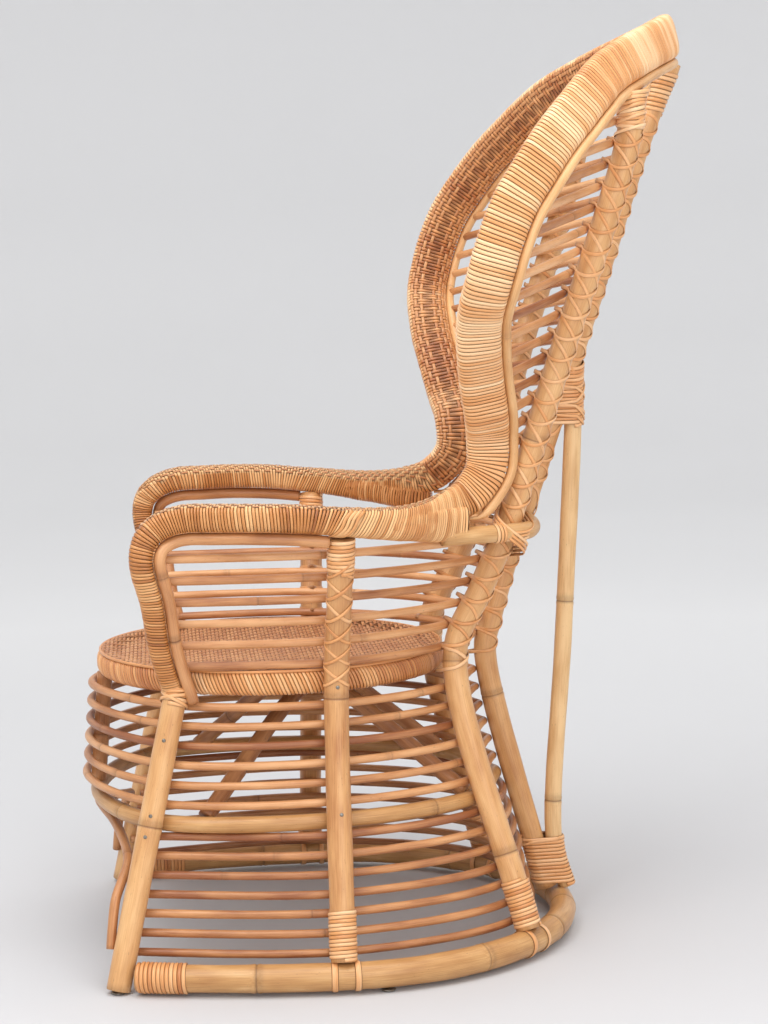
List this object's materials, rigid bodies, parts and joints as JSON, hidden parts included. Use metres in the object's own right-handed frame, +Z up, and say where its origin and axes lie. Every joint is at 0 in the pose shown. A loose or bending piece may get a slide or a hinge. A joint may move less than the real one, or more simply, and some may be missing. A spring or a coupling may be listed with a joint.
{
  "type": "peacock armchair",
  "caption": "High-backed peacock armchair of bent cane rods and bamboo poles, with a wrapped hood rim, curved wrapped arms, a round woven seat and a drum-shaped openwork base.",
  "frame": {"origin": "middle of the footprint of the whole chair, at floor level", "axes": "+Z up; -Y the way the sitter faces; +X the sitter's left"},
  "size_m": [0.716, 0.86, 1.2815],
  "materials": {
    "cane_wrap": "flat rattan strands wound closely, satin",
    "cane_pole": "smooth peeled cane, satin",
    "cane_rod": "thin unpeeled cane, satin",
    "bamboo_pole": "pale bamboo with nodes, satin",
    "seat_weave": "flat rattan strips in a twill weave, matt",
    "glide_metal": "worn nailed glide"
  },
  "bodies": {
    "root": {"base_ring": "bamboo_pole", "middle_ring": "bamboo_pole", "front_leg_left": "cane_pole", "side_post_left": "cane_pole", "rear_stile_left": "cane_pole", "front_leg_right": "cane_pole", "side_post_right": "cane_pole", "rear_stile_right": "cane_pole", "centre_stile": "cane_pole", "back_brace": "bamboo_pole", "front_post": "cane_rod", "front_arch": "cane_rod", "upper_base_rods": "cane_rod", "lower_base_rods": "cane_rod", "seat_weave": "seat_weave", "seat_roll": "cane_wrap", "seat_cross": "cane_rod", "seat_arch_left": "cane_rod", "seat_arch_right": "cane_rod", "arm_band_left": "cane_wrap", "arm_cane_left": "cane_pole", "hoop_left": "bamboo_pole", "arm_band_right": "cane_wrap", "arm_cane_right": "cane_pole", "hoop_right": "bamboo_pole", "arm_rods": "cane_rod", "hood_rim": "cane_wrap", "rim_pole": "cane_pole", "back_rod_01": "cane_rod", "back_rod_02": "cane_rod", "back_rod_03": "cane_rod", "back_rod_04": "cane_rod", "back_rod_05": "cane_rod", "back_rod_06": "cane_rod", "back_rod_07": "cane_rod", "back_rod_08": "cane_rod", "back_rod_09": "cane_rod", "back_rod_10": "cane_rod", "back_rod_11": "cane_rod", "back_rod_12": "cane_rod", "back_rod_13": "cane_rod", "back_rod_14": "cane_rod", "back_rod_15": "cane_rod", "back_rod_16": "cane_rod", "back_rod_17": "cane_rod", "back_rod_18": "cane_rod", "back_rod_19": "cane_rod", "glide_front_left": "glide_metal", "glide_front_right": "glide_metal", "glide_side_left": "glide_metal", "glide_side_right": "glide_metal", "glide_rear": "glide_metal", "side_post_binding_left": "cane_wrap", "rear_stile_binding_left": "cane_wrap", "foot_binding_left": "cane_wrap", "side_post_binding_right": "cane_wrap", "rear_stile_binding_right": "cane_wrap", "foot_binding_right": "cane_wrap", "centre_binding": "cane_wrap", "brace_binding": "cane_wrap"}
  },
  "joints": []
}
